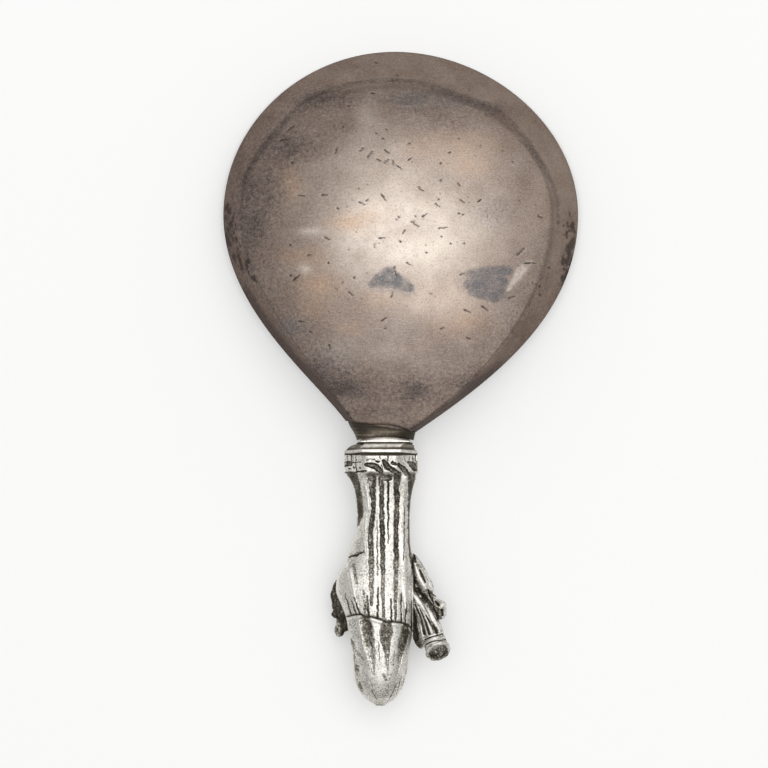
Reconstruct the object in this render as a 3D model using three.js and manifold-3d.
// An old silver spoon, lying face down as it would on a table. Millimetres.
// A wide fig-shaped bowl is raised from sheet. Its heel has a tongue, which goes through a waisted
// socket into a hexagonal plinth. The short stem is a standing figure in a veil and a pleated gown,
// cast as a back half and a front half that meet on the middle plane, with one arm cast by itself.
// +Z is up and faces the back of the spoon, +Y runs to the bowl's tip, and X is across.
// The sizes are given from the stem's axis (X) and from the joint of socket and plinth (Y).

import * as THREE from "three";
import Module from "manifold-3d";
import { mergeVertices } from "three/addons/utils/BufferGeometryUtils.js";

const wasm = await Module();
wasm.setup();

// The bowl's outline: where its tip and its two widest points are
const TIP_Y = 77.5;
const TIP_X = 2.8;
const WIDEST_Y = 44.7;
const REACH_LEFT = 31.6;
const REACH_RIGHT = 39.5;
// How far each curve of the outline runs on before it turns
const TIP_PULL = 18.4;
const SHOULDER_PULL = 18.3;
const FLANK_PULL = 20.5;
// The heel, where the outline comes down on the socket: half its width, and the flanks' run-in
const HEEL_X = 0.5;
const HEEL_Y = 0.8;
const HEEL_HALF_WIDTH = 5.9;
const HEEL_TAIL_Y = -5;
const HEEL_PULL_LEFT = new THREE.Vector2(-4.3, 8.6);
const HEEL_PULL_RIGHT = new THREE.Vector2(15.5, 10.5);

// The bowl's form: steep walls that turn over a soft shoulder into a broad dome. The wall slopes
// most under the tip, and is steepest at the heel and at the side away from the raised arm
const BOWL_DEPTH = 15.4;
const SHOULDER_HEIGHT = 6;
const DOME_FALL = BOWL_DEPTH - SHOULDER_HEIGHT;
const WALL_ANGLE_TIP = 55.5;
const WALL_ANGLE_LEFT = 69;
const WALL_ANGLE_RIGHT = 61;
const WALL_ANGLE_HEEL = 74;
const SHOULDER_SOFTNESS = 2.2;
const SHEET = 1.1;
const RIM_LAND = 1.15;
const HEEL_THICKENING = 2.4;
const HEEL_THICKENING_LENGTH = 13;
const RIM_RISE = 5;

// The socket between bowl and plinth, and the tongue that goes through it
const SOCKET_LENGTH = 2.2;
const SOCKET_SKEW = 9;
const SOCKET_MOUTH_HALF_WIDTH = 6.7;
const SOCKET_MOUTH_HALF_HEIGHT = 4;
const SOCKET_MOUTH_OFFSET = 0.2;
const SOCKET_WAIST_HALF_WIDTH = 5.6;
const SOCKET_WAIST_HALF_HEIGHT = 4.5;
const SOCKET_OFFSET = 0.7;
const TONGUE_WIDTH = 6.4;
const TONGUE_THICKNESS = 1.5;
const TONGUE_SEAT = 0.9;
const TONGUE_LIFT = 3.1;
const TONGUE_RUN = 2.6;
const SOLDER_GAP = 0.3;

// The hexagonal plinth, and the tenon that the figure stands on
const PLINTH_CORNER = 7.3;
const PLINTH_LENGTH = 3.1;
const PLINTH_NECK_CORNER = 5.9;
const PLINTH_GROOVE = 0.28;
const PLINTH_FILLET = 0.75;
const PLINTH_BEVEL = 0.74;
const TENON_WIDTH = 3.2;
const TENON_LENGTH = 2;

// The figure, from the plinth down to the crown of the veil
const BASE_LENGTH = 3.9;
const BASE_BAND = 1.5;
const GOWN_LENGTH = 29;
const VEIL_LENGTH = 17.4;
const VEIL_THICKNESS = 0.75;
const SEAM_LAND = 0.35;
const PLEAT_PITCH = 2.7;
const PLEAT_DEPTH = 0.95;
const PLEAT_START = -0.95;
const FLUTE_DEPTH = 0.8;
const ARM_JOINT_X = 6.4;
const PIN_WIDTH = 1.4;
const PIN_LENGTH = 1.8;

// The raised arm: a gathered sleeve that widens to a banded, frilled cuff with a hollow mouth
const SLEEVE_ROOT_RADIUS = 1.9;
const SLEEVE_CUFF_RADIUS = 2.1;
const SLEEVE_FLUTES = 10;
const SLEEVE_FLUTE_DEPTH = 0.28;
const CUFF_LOBES = 9;
const CUFF_FLARE = 0.5;
const BAND_HEIGHT = 0.22;
const CUFF_HOLLOW = 1.7;

// The middle plane of the stem stands half a plinth above the table
const FLAT_PER_CORNER = Math.cos(Math.PI / 6);
const AXIS_Z = PLINTH_CORNER * FLAT_PER_CORNER;
const SOCKET_MOUTH_Z = AXIS_Z + SOCKET_WAIST_HALF_HEIGHT - SOCKET_MOUTH_HALF_HEIGHT;
const BASE_START = -PLINTH_LENGTH;
const GOWN_START = BASE_START - BASE_LENGTH;
const VEIL_START = GOWN_START - GOWN_LENGTH;
const CROWN = VEIL_START - VEIL_LENGTH;

// A closed mesh as a solid, and back
function solidFrom(geometry) {
  const bare = new THREE.BufferGeometry();
  bare.setAttribute("position", geometry.getAttribute("position"));
  bare.setIndex(geometry.getIndex());
  const merged = mergeVertices(bare, 1e-4);
  const corners = merged.getIndex().array;
  const kept = [];
  for (let i = 0; i < corners.length; i += 3) {
    const [a, b, c] = corners.slice(i, i + 3);
    if (a !== b && b !== c && c !== a) kept.push(a, b, c);
  }
  const vertProperties = new Float32Array(merged.getAttribute("position").array);
  const build = () =>
    new wasm.Manifold(new wasm.Mesh({ numProp: 3, vertProperties, triVerts: new Uint32Array(kept) }));
  const built = build();
  if (built.volume() > 0) return built;
  for (let i = 0; i < kept.length; i += 3) [kept[i + 1], kept[i + 2]] = [kept[i + 2], kept[i + 1]];
  return build();
}

function meshFrom(name, solid, material) {
  const { numProp, vertProperties, triVerts } = solid.getMesh();
  const points = new Float32Array((vertProperties.length / numProp) * 3);
  for (let i = 0; i < points.length / 3; i++) {
    points.set(vertProperties.subarray(i * numProp, i * numProp + 3), i * 3);
  }
  const geometry = new THREE.BufferGeometry();
  geometry.setAttribute("position", new THREE.BufferAttribute(points, 3));
  geometry.setIndex(new THREE.BufferAttribute(triVerts, 1));
  geometry.computeVertexNormals();
  const mesh = new THREE.Mesh(geometry, material);
  mesh.name = name;
  return mesh;
}

function boxSolid(low, high) {
  const size = new THREE.Vector3().subVectors(high, low);
  const box = new THREE.BoxGeometry(size.x, size.y, size.z);
  box.translate((low.x + high.x) / 2, (low.y + high.y) / 2, (low.z + high.z) / 2);
  return solidFrom(box);
}

// A lump: a sphere stretched to three radii, turned about Z and put in its place
function lumpSolid(radii, place, turn = 0, around = 11) {
  const lump = new THREE.SphereGeometry(1, around, Math.round(around * 0.6));
  lump.scale(radii.x, radii.y, radii.z);
  lump.rotateZ(turn);
  lump.translate(place.x, place.y, place.z);
  return solidFrom(lump);
}

// The skin between rings of points, each ring closed, with both end rings filled by a fan
function loftSolid(rings) {
  const count = rings[0].length;
  const points = rings.flat();
  const faces = [];
  for (let r = 0; r + 1 < rings.length; r++) {
    for (let i = 0; i < count; i++) {
      const a = r * count + i;
      const b = r * count + ((i + 1) % count);
      faces.push(a, b, b + count, a, b + count, a + count);
    }
  }
  for (const [r, flip] of [[0, true], [rings.length - 1, false]]) {
    const middle = new THREE.Vector3();
    rings[r].forEach((p) => middle.addScaledVector(p, 1 / count));
    points.push(middle);
    for (let i = 0; i < count; i++) {
      const a = r * count + i;
      const b = r * count + ((i + 1) % count);
      if (flip) faces.push(points.length - 1, b, a);
      else faces.push(points.length - 1, a, b);
    }
  }
  return solidFrom(new THREE.BufferGeometry().setFromPoints(points).setIndex(faces));
}

// Goes smoothly from 0 at one place to 1 at the other, whichever of the two is higher
const smoothstep = (from, to, at) => {
  const t = THREE.MathUtils.clamp((at - from) / (to - from), 0, 1);
  return t * t * (3 - 2 * t);
};
const hump = (offset, width) => Math.exp(-((offset / width) ** 2));
const softMin = (a, b, softness) => {
  const mix = THREE.MathUtils.clamp(0.5 + (b - a) / (2 * softness), 0, 1);
  return THREE.MathUtils.lerp(b, a, mix) - softness * mix * (1 - mix);
};

// A smooth value through [place, value] pairs whose places rise: level at each highest and lowest
function through(pairs) {
  const slope = pairs.map((pair, i) => {
    const [a, b] = [pairs[Math.max(i - 1, 0)], pairs[Math.min(i + 1, pairs.length - 1)]];
    const turns = (pair[1] - a[1]) * (b[1] - pair[1]) <= 0;
    return turns ? 0 : (b[1] - a[1]) / (b[0] - a[0]);
  });
  return (at) => {
    let i = 0;
    while (i < pairs.length - 2 && at > pairs[i + 1][0]) i++;
    const [[x0, y0], [x1, y1]] = [pairs[i], pairs[i + 1]];
    const t = THREE.MathUtils.clamp((at - x0) / (x1 - x0), 0, 1);
    const run = x1 - x0;
    return (
      y0 * (1 + 2 * t) * (1 - t) ** 2 +
      y1 * t * t * (3 - 2 * t) +
      slope[i] * run * t * (1 - t) ** 2 -
      slope[i + 1] * run * t * t * (1 - t)
    );
  };
}

// Blocks that cut at a joint are as large as the bowl is wide
const BLOCK = REACH_LEFT + REACH_RIGHT;

// The heel joint is one skewed plane: this block is the side of it that the socket is on
const HEEL_SIDE = new THREE.BoxGeometry(BLOCK, BLOCK, BLOCK);
HEEL_SIDE.translate(0, -BLOCK / 2, 0);
HEEL_SIDE.rotateZ(THREE.MathUtils.degToRad(-SOCKET_SKEW));
HEEL_SIDE.translate(SOCKET_OFFSET, SOCKET_LENGTH, AXIS_Z);
const heelSide = solidFrom(HEEL_SIDE);

const rimHeight = (y) => (RIM_RISE * (TIP_Y - y)) / TIP_Y;

// The tongue lies just under the back of the heel
const TONGUE_Z = rimHeight(0) + TONGUE_LIFT;
function tongueSolid(clearance) {
  return boxSolid(
    new THREE.Vector3(
      SOCKET_OFFSET - TONGUE_WIDTH / 2 - clearance,
      -TONGUE_SEAT - clearance,
      TONGUE_Z - TONGUE_THICKNESS / 2 - clearance,
    ),
    new THREE.Vector3(
      SOCKET_OFFSET + TONGUE_WIDTH / 2 + clearance,
      SOCKET_LENGTH + TONGUE_RUN,
      TONGUE_Z + TONGUE_THICKNESS / 2 + clearance,
    ),
  );
}

// The bowl's outline, clockwise from below the heel joint: up the left, over the tip and down the
// right. The two halves have as many points as each other
function bowlOutline() {
  const heelLeft = new THREE.Vector2(HEEL_X - HEEL_HALF_WIDTH, HEEL_Y);
  const heelRight = new THREE.Vector2(HEEL_X + HEEL_HALF_WIDTH, HEEL_Y);
  const tail = new THREE.Vector2(HEEL_X, HEEL_TAIL_Y);
  const tailPull = 0.56;
  const turnX = tailPull * HEEL_HALF_WIDTH;
  const turnY = THREE.MathUtils.lerp(HEEL_Y, HEEL_TAIL_Y, tailPull);
  const outline = new THREE.Path();
  outline.moveTo(tail.x, tail.y);
  outline.bezierCurveTo(tail.x - turnX, tail.y, heelLeft.x, turnY, heelLeft.x, heelLeft.y);
  outline.bezierCurveTo(
    heelLeft.x + HEEL_PULL_LEFT.x, heelLeft.y + HEEL_PULL_LEFT.y,
    -REACH_LEFT, WIDEST_Y - FLANK_PULL,
    -REACH_LEFT, WIDEST_Y,
  );
  outline.bezierCurveTo(
    -REACH_LEFT, WIDEST_Y + SHOULDER_PULL,
    TIP_X - TIP_PULL, TIP_Y,
    TIP_X, TIP_Y,
  );
  outline.bezierCurveTo(
    TIP_X + TIP_PULL, TIP_Y,
    REACH_RIGHT, WIDEST_Y + SHOULDER_PULL,
    REACH_RIGHT, WIDEST_Y,
  );
  outline.bezierCurveTo(
    REACH_RIGHT, WIDEST_Y - FLANK_PULL,
    heelRight.x + HEEL_PULL_RIGHT.x, heelRight.y + HEEL_PULL_RIGHT.y,
    heelRight.x, heelRight.y,
  );
  outline.bezierCurveTo(heelRight.x, turnY, tail.x + turnX, tail.y, tail.x, tail.y);
  const divisions = [4, 18, 17, 17, 18, 4];
  return outline.curves.flatMap((curve, i) => curve.getSpacedPoints(divisions[i]).slice(0, -1));
}

function bowlSolid() {
  const edge = bowlOutline();
  const count = edge.length;
  const inward = edge.map((p, i) => {
    const along = new THREE.Vector2().subVectors(edge[(i + 1) % count], edge.at(i - 1)).normalize();
    return new THREE.Vector2(along.y, -along.x);
  });
  // Ribs run out to the rim from a ridge line, which goes up from the heel to the dome's top
  const top = new THREE.Vector2((REACH_RIGHT - REACH_LEFT + TIP_X) / 3, WIDEST_Y - 1);
  const ridge = edge.map((_, i) => {
    const y = (edge[i].y + edge[(count - i) % count].y) / 2;
    const share = Math.min(1, (y - edge[0].y) / (WIDEST_Y - edge[0].y));
    const foot = new THREE.Vector2(HEEL_X, edge[0].y + 1.5);
    return foot.lerp(top, share);
  });
  // How far a place is from the wall, with the two walls of the narrow heel blended together
  const segment = new THREE.Line3();
  const nearest = new THREE.Vector3();
  const wallDistance = (x, y) => {
    const here = new THREE.Vector3(x, y, 0);
    const least = [Infinity, Infinity];
    edge.forEach((p, i) => {
      const q = edge[(i + 1) % count];
      segment.start.set(p.x, p.y, 0);
      segment.end.set(q.x, q.y, 0);
      segment.closestPointToPoint(here, true, nearest);
      const half = i < count / 2 ? 0 : 1;
      least[half] = Math.min(least[half], nearest.distanceTo(here));
    });
    return y < WIDEST_Y ? softMin(...least, 3) : Math.min(...least);
  };
  // The dome falls off evenly to the rim on each side, and down to the heel
  const outwards = (x, y) => {
    const across = (2 * x - REACH_RIGHT + REACH_LEFT) / (REACH_RIGHT + REACH_LEFT);
    const along = (y - top.y) / (y > top.y ? TIP_Y - top.y : top.y);
    return { across, along, share: Math.min(1, Math.hypot(across, along)) };
  };
  // How high the wall and the dome each stand, at a distance from the wall's foot
  const rising = (wall, x, y, depth) => {
    const { across, along, share } = outwards(x, y);
    const sides = THREE.MathUtils.lerp(WALL_ANGLE_LEFT, WALL_ANGLE_RIGHT, 0.5 + 0.5 * across);
    const ends = along > 0 ? WALL_ANGLE_TIP : WALL_ANGLE_HEEL;
    const turn = across ** 2 / (across ** 2 + along ** 2 + 1e-9);
    const rise = Math.tan(THREE.MathUtils.degToRad(THREE.MathUtils.lerp(ends, sides, turn)));
    return [rise * wall, depth - DOME_FALL * share ** 2];
  };
  // A rib's rings are set out from its shoulder, where the wall gives way to the dome: the first are
  // shares of the way up the dome, and the last are shares of the way down the wall
  const onDome = [0, 0.27, 0.52, 0.74, 0.89, 0.965, 1];
  const onWall = [0.3, 0.62, 1];
  const ringCount = onDome.length + onWall.length;
  const points = [];
  const faces = [];
  const skin = (inner) => {
    const first = points.length;
    const onRib = (i, share) => {
      const out = inner ? edge[i].clone().addScaledVector(inward[i], RIM_LAND) : edge[i];
      const { x, y } = ridge[i].clone().lerp(out, share);
      const wall = share === 1 ? 0 : Math.max(0, wallDistance(x, y) - (inner ? RIM_LAND : 0));
      const thick = SHEET + HEEL_THICKENING * smoothstep(HEEL_THICKENING_LENGTH, 2, y);
      return { x, y, rising: rising(wall, x, y, BOWL_DEPTH - (inner ? thick : 0)) };
    };
    const ribs = edge.map((_, i) => {
      let [dome, wall] = [0.35, 1];
      for (let halving = 0; halving < 12; halving++) {
        const middle = (dome + wall) / 2;
        const [onTheWall, onTheDome] = onRib(i, middle).rising;
        if (onTheWall > onTheDome) dome = middle;
        else wall = middle;
      }
      return [...onDome.map((s) => s * wall), ...onWall.map((s) => wall + s * (1 - wall))];
    });
    for (let r = 0; r < ringCount; r++) {
      edge.forEach((_, i) => {
        const { x, y, rising: [onTheWall, onTheDome] } = onRib(i, ribs[i][r]);
        const up = Math.max(0, softMin(onTheWall, onTheDome, SHOULDER_SOFTNESS));
        points.push(new THREE.Vector3(x, y, rimHeight(y) + up));
      });
    }
    for (let i = 0; i < count; i++) {
      const j = (i + 1) % count;
      for (let r = 0; r + 1 < ringCount; r++) {
        const [a, b] = [first + r * count + i, first + r * count + j];
        const quad = [a, a + count, b + count, a, b + count, b];
        faces.push(...(inner ? [a, b + count, a + count, a, b, b + count] : quad));
      }
    }
    return points.length - count;
  };
  const outerRim = skin(false);
  const innerRim = skin(true);
  for (let i = 0; i < count; i++) {
    const j = (i + 1) % count;
    faces.push(outerRim + i, innerRim + i, innerRim + j, outerRim + i, innerRim + j, outerRim + j);
  }
  const shell = solidFrom(new THREE.BufferGeometry().setFromPoints(points).setIndex(faces));
  return shell.subtract(heelSide).add(tongueSolid(0));
}

// The socket: waisted, wider where it takes the heel, with the tongue's slot right through it
function socketSolid() {
  const rings = [0, 0.35, 0.8, 1.4, 2.1, 3, 4.4].map((y) => {
    const open = smoothstep(0.3, SOCKET_LENGTH + 0.9, y) ** 1.3;
    const halfWidth = THREE.MathUtils.lerp(SOCKET_WAIST_HALF_WIDTH, SOCKET_MOUTH_HALF_WIDTH, open);
    const halfHeight = THREE.MathUtils.lerp(SOCKET_WAIST_HALF_HEIGHT, SOCKET_MOUTH_HALF_HEIGHT, open);
    const x = THREE.MathUtils.lerp(SOCKET_OFFSET, SOCKET_MOUTH_OFFSET, open);
    const z = THREE.MathUtils.lerp(AXIS_Z, SOCKET_MOUTH_Z, open);
    const steps = 32;
    return Array.from({ length: steps }, (_, i) => {
      const turn = (i / steps) * 2 * Math.PI;
      const squareness = 0.85;
      const across = Math.sign(Math.cos(turn)) * Math.abs(Math.cos(turn)) ** squareness;
      const up = Math.sign(Math.sin(turn)) * Math.abs(Math.sin(turn)) ** squareness;
      return new THREE.Vector3(x + halfWidth * across, y, z + halfHeight * up);
    });
  });
  return loftSolid(rings).intersect(heelSide).subtract(tongueSolid(SOLDER_GAP));
}

// The plinth: a moulding turned on six sides, with the tongue's seat above and the tenon below
function plinthSolid() {
  const groove = PLINTH_CORNER - PLINTH_GROOVE;
  const fillet = -PLINTH_LENGTH + 0.25;
  const profile = [
    [0, -PLINTH_LENGTH],
    [groove, -PLINTH_LENGTH],
    [groove, fillet - 0.08],
    [PLINTH_CORNER, fillet],
    [PLINTH_CORNER, fillet + PLINTH_FILLET],
    [PLINTH_CORNER - 0.3, fillet + PLINTH_FILLET + 0.12],
    [PLINTH_CORNER - 0.75, -PLINTH_BEVEL - 0.8],
    [PLINTH_NECK_CORNER + 0.3, -PLINTH_BEVEL - 0.35],
    [PLINTH_NECK_CORNER + 0.15, -PLINTH_BEVEL - 0.12],
    [PLINTH_NECK_CORNER + 0.35, -PLINTH_BEVEL],
    [PLINTH_NECK_CORNER + 0.2, -PLINTH_BEVEL / 2],
    [PLINTH_NECK_CORNER - 0.15, 0],
    [0, 0],
  ].map(([radius, y]) => new THREE.Vector2(radius, y));
  const moulding = new THREE.LatheGeometry(profile, 6, Math.PI / 6);
  moulding.translate(0, 0, AXIS_Z);
  return solidFrom(moulding).add(tenonSolid(0)).subtract(tongueSolid(SOLDER_GAP));
}

function tenonSolid(clearance) {
  const half = TENON_WIDTH / 2 + clearance;
  return boxSolid(
    new THREE.Vector3(-half, BASE_START - TENON_LENGTH - clearance, AXIS_Z - half),
    new THREE.Vector3(half, BASE_START + 1, AXIS_Z + half),
  );
}

// The figure's outline from the back, as reach to the left and right of the axis. Each stretch gives
// its shares of the gown's or the veil's length: hem, ankle, waist, elbow and shoulder of the gown,
// then ear, temple and crown of the veil
const gownShare = (share) => GOWN_START - share * GOWN_LENGTH;
const veilShare = (share) => VEIL_START - share * VEIL_LENGTH;
const placed = (gown, veil) =>
  [...gown.map(([s, v]) => [-gownShare(s), v]), ...veil.map(([s, v]) => [-veilShare(s), v])];
const reachLeft = through(placed(
  [[0, 7], [0.045, 6.2], [0.11, 5.4], [0.23, 4.9], [0.38, 4.8], [0.47, 5.8], [0.6, 7.1], [0.7, 8.6],
    [0.8, 9], [0.91, 7.9]],
  [[0, 7], [0.2, 6.4], [0.38, 5.8], [0.55, 5.5], [0.7, 5.3], [0.82, 4.5], [0.93, 2.9], [1, 1.2]],
));
const reachRight = through(placed(
  [[0, 7.2], [0.045, 7], [0.11, 6.4], [0.23, 5.9], [0.38, 5.8], [0.5, 5.95],
    [0.6, ARM_JOINT_X], [0.7, ARM_JOINT_X], [0.8, ARM_JOINT_X], [0.91, ARM_JOINT_X]],
  [[0, ARM_JOINT_X], [0.2, 6.1], [0.38, 5.7], [0.55, 5.4], [0.7, 4.9], [0.82, 4.1], [0.93, 2.6], [1, 0.8]],
));
const backDepth = through(placed(
  [[0, 5.6], [0.1, 5], [0.25, 4.7], [0.5, 4.9], [0.7, 5.2], [0.9, 5.3]],
  [[0, 5.3], [0.3, 5.5], [0.55, 5.3], [0.75, 4.6], [0.9, 3.2], [1, 0.7]],
));
const frontDepth = through(placed(
  [[0, 5.5], [0.1, 5], [0.25, 4.7], [0.4, 5.1], [0.6, 5], [0.8, 5.1], [0.93, 5]],
  [[0, 4.6], [0.2, 4.5], [0.4, 4.9], [0.6, 5], [0.78, 4.4], [0.9, 3.2], [1, 0.7]],
));

// How high a rounded section stands at x, between its two edges
function rounded(x, left, right, depth) {
  const across = (2 * x + left - right) / (left + right);
  return depth * Math.max(0, 1 - Math.abs(across) ** 2.3) ** (1 / 2.3);
}

const hexHeight = (x, corner) =>
  Math.min(corner * FLAT_PER_CORNER, (corner - Math.abs(x)) * Math.tan(Math.PI / 3));

// Both halves swell at the shoulder to a flat seat for the raised arm
const ARM_SEAT_SHARE = 0.84;
const armSeat = (x, share) => 4.1 * hump(x - ARM_JOINT_X, 2.2) * hump(share - ARM_SEAT_SHARE, 0.16);

// The pleats hang straight down, and the shoulder gathers them at half the pitch
function pleats(x, share) {
  const wave = (pitch) => 0.5 - 0.5 * Math.cos((2 * Math.PI * (x - PLEAT_START)) / pitch);
  const cloak = smoothstep(-4.6, -3.2, x + 1.6 * smoothstep(0.5, 0.2, share));
  const long = PLEAT_DEPTH * wave(PLEAT_PITCH) ** 1.8 * smoothstep(0.02, 0.12, share) * cloak;
  const gather = 0.35 * wave(PLEAT_PITCH / 2) ** 2 * smoothstep(0.8, 0.97, share);
  return long + gather;
}

// The hem's ends swirl over the plinth's base in slanting lobes
function hemLobes(x, down) {
  const slant = x - 0.8 * (down - BASE_BAND);
  const lobe = 0.5 + 0.5 * Math.cos((2 * Math.PI * slant) / 2.9);
  return 0.8 * lobe * smoothstep(BASE_BAND - 0.1, BASE_BAND + 0.6, down);
}

// The veil's hem dips from the left shoulder to the right one
const hemLine = (x) => VEIL_START + 0.5 - 0.16 * x - 0.035 * x * x * smoothstep(0, 3, x);

// Three hollow flutes run from the veil's hem towards the crown
function flutes(x, down) {
  const share = down / VEIL_LENGTH;
  const fade = smoothstep(0.78, 0.3, share);
  return [-3, 1.25, 4.4]
    .map((start) => start * (1 - 0.35 * share))
    .reduce((sum, at) => sum + FLUTE_DEPTH * fade * hump(x - at, 1.15 - 0.5 * share), 0);
}

function backHeight(x, y) {
  if (y > GOWN_START) return hexHeight(x, PLINTH_CORNER) - hemLobes(x, BASE_START - y);
  const down = -y;
  const [left, right] = [reachLeft(down), reachRight(down)];
  const share = (GOWN_START - y) / GOWN_LENGTH;
  const body = rounded(x, left, right, backDepth(down));
  const gown = Math.max(body - pleats(x, share), armSeat(x, share));
  const below = hemLine(x) - y;
  if (below < 0) return gown;
  const veil = rounded(x, left, right, backDepth(down) + VEIL_THICKNESS);
  return Math.max(y > VEIL_START - 2 ? gown : 0, veil - flutes(x, below));
}

// The face is a plain oval of even proportions, framed by the veil's edge
const FACE_X = -0.3;
const FACE_DOWN = 9.2;
const FACE_HALF_WIDTH = 3.1;
const FACE_HALF_LENGTH = 4;
function faceHeight(x, y) {
  const across = (x - FACE_X) / FACE_HALF_WIDTH;
  const up = (VEIL_START - y - FACE_DOWN) / FACE_HALF_LENGTH;
  const oval = Math.hypot(across, up);
  const frame = 0.75 * hump(oval - 1.16, 0.2);
  if (oval > 1.12) return frame;
  const skin = 0.55 * Math.sqrt(Math.max(0, 1 - oval ** 2));
  const nose = 0.85 * hump(across, 0.17) * smoothstep(-0.24, -0.06, up) * smoothstep(0.5, -0.1, up);
  const brow = 0.25 * hump(up - 0.36, 0.12) * hump(across, 0.75);
  const socket = (side) => -0.42 * hump(across - side * 0.4, 0.2) * hump(up - 0.2, 0.13);
  const lid = (side) => 0.22 * hump(across - side * 0.4, 0.13) * hump(up - 0.18, 0.07);
  const mouth = 0.26 * hump(across, 0.24) * (hump(up + 0.4, 0.06) + hump(up + 0.55, 0.07));
  const chin = 0.35 * hump(across, 0.3) * hump(up + 0.84, 0.16);
  return frame + skin + nose + brow + mouth + chin + socket(1) + socket(-1) + lid(1) + lid(-1);
}

function frontHeight(x, y) {
  if (y > GOWN_START) return hexHeight(x, PLINTH_CORNER);
  const down = -y;
  const [left, right] = [reachLeft(down), reachRight(down)];
  const share = (GOWN_START - y) / GOWN_LENGTH;
  const body = rounded(x, left, right, frontDepth(down));
  // Long folds fall from the girdle, and the mantle crosses above them in three slanting folds
  const skirt = smoothstep(0.02, 0.1, share) * smoothstep(0.58, 0.48, share);
  const folds = 0.7 * skirt * (0.5 - 0.5 * Math.cos((2 * Math.PI * (x + 0.4)) / 3.1)) ** 1.8;
  const slant = share + 0.028 * x;
  const mantle = [0.5, 0.59, 0.68].reduce((sum, at) => sum + 0.5 * hump(slant - at, 0.03), 0);
  const arm = 1.15 * hump(share - 0.8 + 0.012 * x, 0.045) * smoothstep(4.5, 2.5, x);
  const hand = 0.5 * hump(x - 2.2, 1.5) * hump(share - 0.77, 0.05);
  const gown = Math.max(body - folds + mantle + arm + hand, armSeat(x, share));
  const head = y < VEIL_START ? faceHeight(x, y) : 0;
  return Math.min(gown + head, AXIS_Z - 0.05);
}

// A half casting: its modelled side stands on the middle plane, inside the figure's outline.
// side is 1 for the back half and -1 for the front half. The rows of its surface lie closer where
// there is more to model, and bend along the veil's hem
function halfCasting(height, side, steps) {
  const stretch = (from, to, count) =>
    Array.from({ length: count }, (_, i) => THREE.MathUtils.lerp(from, to, i / count));
  const rows = [
    BASE_START,
    ...stretch(BASE_START - BASE_BAND, GOWN_START + 0.15, steps.base),
    GOWN_START + 0.01,
    ...stretch(GOWN_START - 0.3, VEIL_START + 2, steps.gown),
    ...stretch(VEIL_START + 2, VEIL_START + 0.04, steps.shoulder),
    ...stretch(VEIL_START - 0.04, CROWN + 2.5, steps.veil),
    ...stretch(CROWN + 2.5, CROWN, steps.crown),
    CROWN,
  ];
  const columns = 34;
  const grid = rows.map((row) => {
    const onBase = row > GOWN_START;
    const left = onBase ? PLINTH_CORNER : reachLeft(-row);
    const right = onBase ? PLINTH_CORNER : reachRight(-row);
    return Array.from({ length: columns + 1 }, (_, i) => {
      const share = i / columns;
      const eased = THREE.MathUtils.lerp(share, 0.5 - 0.5 * Math.cos(Math.PI * share), 0.45);
      const x = THREE.MathUtils.lerp(-left, right, eased);
      const bend = hemLine(x) - VEIL_START;
      const y = row + bend * smoothstep(5, 0, Math.abs(row - VEIL_START));
      const up = Math.max(SEAM_LAND, height(x, y));
      return new THREE.Vector3(x, y, AXIS_Z + side * up);
    });
  });
  const points = grid.flat();
  const faces = [];
  const wide = columns + 1;
  for (let r = 0; r + 1 < rows.length; r++) {
    for (let i = 0; i < columns; i++) {
      const a = r * wide + i;
      faces.push(a, a + wide, a + 1, a + 1, a + wide, a + wide + 1);
    }
  }
  // The border is dropped to the middle plane, and the plane is filled strip by strip
  const dropped = rows.map((_, r) => {
    const ends = r === 0 || r === rows.length - 1;
    const kept = ends ? Array.from({ length: wide }, (_, i) => i) : [0, columns];
    return kept.map((i) => {
      points.push(grid[r][i].clone().setZ(AXIS_Z));
      return { above: r * wide + i, below: points.length - 1 };
    });
  });
  const wall = (a, b) => faces.push(a.above, b.above, b.below, a.above, b.below, a.below);
  for (let r = 0; r + 1 < rows.length; r++) {
    const [here, next] = [dropped[r], dropped[r + 1]];
    wall(next[0], here[0]);
    wall(here.at(-1), next.at(-1));
    for (let i = 0; i + 1 < here.length; i++) {
      faces.push(here[i].below, here[i + 1].below, next[0].below);
    }
    for (let i = 0; i + 1 < next.length; i++) {
      faces.push(here.at(-1).below, next[i + 1].below, next[i].below);
    }
  }
  for (let i = 0; i < columns; i++) {
    wall(dropped[0][i], dropped[0][i + 1]);
    wall(dropped.at(-1)[i + 1], dropped.at(-1)[i]);
  }
  const half = solidFrom(new THREE.BufferGeometry().setFromPoints(points).setIndex(faces));
  return half.subtract(tenonSolid(SOLDER_GAP)).subtract(armPin(SOLDER_GAP));
}

// A curly mass with a small knob is held against the figure's right side, below the middle plane
function curlyMass() {
  const middle = new THREE.Vector3(-8, gownShare(0.89), AXIS_Z - 3);
  let mass = lumpSolid(new THREE.Vector3(1.9, 4.6, 2.4), middle, 0.1);
  const curls = 12;
  for (let i = 0; i < curls; i++) {
    const down = i / (curls - 1);
    const swing = 2.4 * i;
    const bulge = 0.6 + 0.7 * Math.sin(Math.PI * down);
    const place = new THREE.Vector3(
      middle.x + bulge * Math.cos(swing) - 0.1,
      middle.y + 3.9 - 7.8 * down,
      middle.z + 1.35 * bulge * Math.sin(swing),
    );
    mass = mass.add(lumpSolid(new THREE.Vector3(0.9, 1, 0.85), place, swing, 8));
  }
  const knob = new THREE.Vector3(middle.x - 0.3, middle.y - 5.6, middle.z - 0.2);
  const wrist = new THREE.Vector3(middle.x + 0.5, middle.y - 4.2, middle.z - 0.2);
  return mass
    .add(lumpSolid(new THREE.Vector3(1.1, 1.5, 1.1), knob))
    .add(lumpSolid(new THREE.Vector3(1.5, 1.9, 1.4), wrist, 0.3));
}

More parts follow.
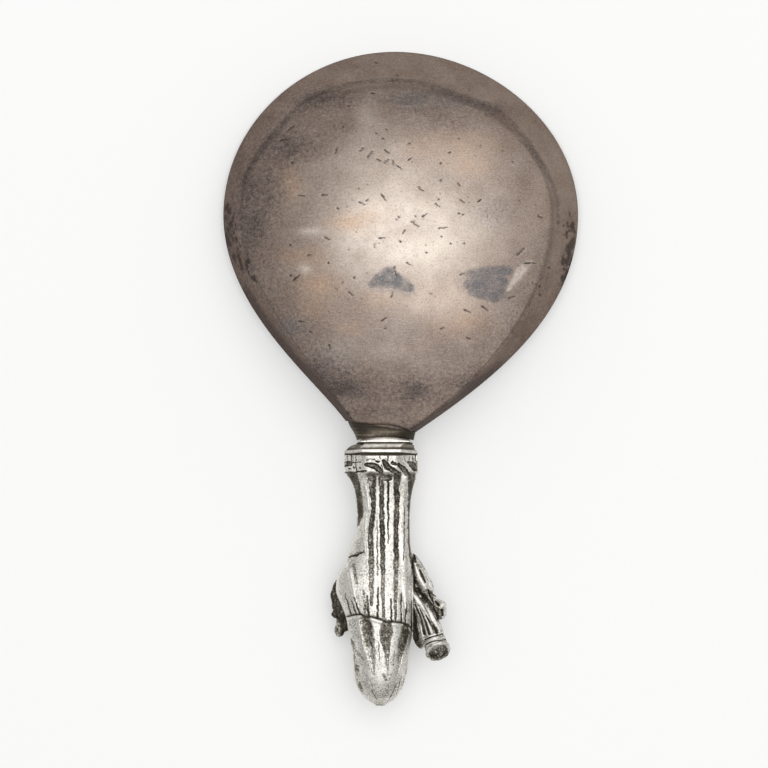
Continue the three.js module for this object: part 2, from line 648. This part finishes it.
// The arm's pin goes between the two halves
function armPin(clearance) {
  const half = PIN_WIDTH / 2 + clearance;
  const y = gownShare(ARM_SEAT_SHARE);
  return boxSolid(
    new THREE.Vector3(ARM_JOINT_X - PIN_LENGTH - clearance, y - half, AXIS_Z - half),
    new THREE.Vector3(ARM_JOINT_X + 0.4, y + half, AXIS_Z + half),
  );
}

// The raised arm: rings along a curve that leaves the shoulder and turns up to the cuff
function armSolid() {
  const root = new THREE.Vector3(ARM_JOINT_X, gownShare(0.8), AXIS_Z);
  const route = new THREE.CatmullRomCurve3(
    [[-1.2, 2, -1.2], [0.7, -2.6, -0.9], [2.5, -6.4, -0.2], [4, -9.7, 1.3], [5.3, -13, 3.1]]
      .map((offset) => new THREE.Vector3(...offset).add(root)),
  );
  const cuff = 0.79;
  const around = 36;
  const ring = (share, radius, ripple, lobes) => {
    const at = route.getPoint(share);
    const along = route.getTangent(share);
    const side = new THREE.Vector3().crossVectors(along, new THREE.Vector3(0, 0, 1)).normalize();
    const up = new THREE.Vector3().crossVectors(side, along).normalize();
    return Array.from({ length: around }, (_, i) => {
      const turn = (i / around) * 2 * Math.PI;
      const reach = radius * (1 + ripple * Math.cos(lobes * turn));
      return at.clone()
        .addScaledVector(side, reach * Math.cos(turn))
        .addScaledVector(up, reach * Math.sin(turn));
    });
  };
  const flute = SLEEVE_FLUTE_DEPTH / SLEEVE_CUFF_RADIUS;
  const rings = [];
  for (let i = 0; i < 10; i++) {
    const share = (i / 10) * cuff;
    const swell = 0.35 * Math.sin((Math.PI * share) / cuff);
    const radius = THREE.MathUtils.lerp(SLEEVE_ROOT_RADIUS, SLEEVE_CUFF_RADIUS, share / cuff);
    const depth = flute * smoothstep(0.2, 0.45, share) * smoothstep(cuff, cuff - 0.1, share);
    rings.push(ring(share, radius + swell, depth, SLEEVE_FLUTES));
  }
  // Two bands, a step in, and the frill round the hollow mouth
  rings.push(ring(cuff - 0.02, SLEEVE_CUFF_RADIUS - 0.05, 0, 0));
  rings.push(ring(cuff, SLEEVE_CUFF_RADIUS + BAND_HEIGHT, 0, 0));
  rings.push(ring(cuff + 0.035, SLEEVE_CUFF_RADIUS + BAND_HEIGHT, 0, 0));
  rings.push(ring(cuff + 0.045, SLEEVE_CUFF_RADIUS + BAND_HEIGHT / 4, 0, 0));
  rings.push(ring(cuff + 0.055, SLEEVE_CUFF_RADIUS + BAND_HEIGHT, 0, 0));
  rings.push(ring(cuff + 0.085, SLEEVE_CUFF_RADIUS + BAND_HEIGHT, 0, 0));
  rings.push(ring(cuff + 0.1, SLEEVE_CUFF_RADIUS + BAND_HEIGHT / 3, 0, 0));
  rings.push(ring(cuff + 0.14, SLEEVE_CUFF_RADIUS + CUFF_FLARE, 0.06, CUFF_LOBES));
  rings.push(ring(1, SLEEVE_CUFF_RADIUS + CUFF_FLARE - 0.1, 0.08, CUFF_LOBES));
  rings.push(ring(1, SLEEVE_CUFF_RADIUS - 0.35, 0.03, CUFF_LOBES));
  const mouth = ring(1, SLEEVE_CUFF_RADIUS - 0.95, 0, 0);
  const inward = route.getTangent(1).multiplyScalar(-CUFF_HOLLOW);
  rings.push(mouth.map((p) => p.clone().add(inward)));
  let arm = loftSolid(rings);
  // A web of cloth fills the armpit. Above the sleeve the mantle is gathered in a long fold, and a
  // knot of curled folds hangs at its edge. Each lump: radii, offset from the shoulder, and turn
  const gathered = [
    [[1.7, 5.4, 2.1], [1, -6.6, -1.6], 0.12],
    [[1.45, 4.8, 1.9], [1.35, 2.9, 0.3], 0.42],
    [[1.5, 2.3, 1.6], [2.5, 0.6, 0.2], 0.3],
    [[1.5, 2, 1.5], [3.3, -2.2, -0.5], 0.7],
    [[1.75, 2.2, 1.7], [4.9, -4, -0.7], 0.4],
    [[0.95, 1, 1.1], [5.7, -3.3, 0.4], 0],
    [[0.9, 1, 1], [5.4, -5, 0.3], 0],
    [[0.8, 0.9, 1], [4.1, -3.2, 0.5], 0],
  ];
  gathered.forEach(([radii, offset, turn]) => {
    const place = new THREE.Vector3(...offset).add(root);
    arm = arm.add(lumpSolid(new THREE.Vector3(...radii), place, turn));
  });
  const slit = new THREE.Vector3(1.75, 2.7, 2.1).add(root);
  arm = arm.subtract(lumpSolid(new THREE.Vector3(0.3, 0.95, 0.9), slit, 0.5));
  const beyondJoint = boxSolid(
    new THREE.Vector3(ARM_JOINT_X, CROWN, -BLOCK),
    new THREE.Vector3(ARM_JOINT_X + BLOCK, 0, BLOCK),
  );
  return arm.intersect(beyondJoint).add(armPin(0));
}

const silver = (color, roughness) =>
  new THREE.MeshStandardMaterial({ color, roughness, metalness: 1 });
const tarnished = silver(0x8d7b70, 0.42);
const brownHeel = silver(0x7a6c56, 0.45);
const brightCast = silver(0xc9c4ba, 0.34);
const darkCast = silver(0xa9a294, 0.4);

const backSteps = { base: 6, gown: 18, shoulder: 3, veil: 11, crown: 4 };
const frontSteps = { base: 1, gown: 24, shoulder: 2, veil: 21, crown: 4 };
const back = halfCasting(backHeight, 1, backSteps);
const front = halfCasting(frontHeight, -1, frontSteps).add(curlyMass());

const spoon = new THREE.Group();
spoon.add(
  meshFrom("bowl", bowlSolid(), tarnished),
  meshFrom("heel_socket", socketSolid(), brownHeel),
  meshFrom("hex_plinth", plinthSolid(), brightCast),
  meshFrom("figure_back", back, brightCast),
  meshFrom("figure_front", front, darkCast),
  meshFrom("raised_arm", armSolid(), brightCast),
);

// The part's origin is under the middle of the whole spoon, on the table
const extent = new THREE.Box3().setFromObject(spoon);
spoon.children.forEach((mesh) => {
  mesh.position.set(-(extent.min.x + extent.max.x) / 2, -(extent.min.y + extent.max.y) / 2, -extent.min.z);
});

export default spoon;
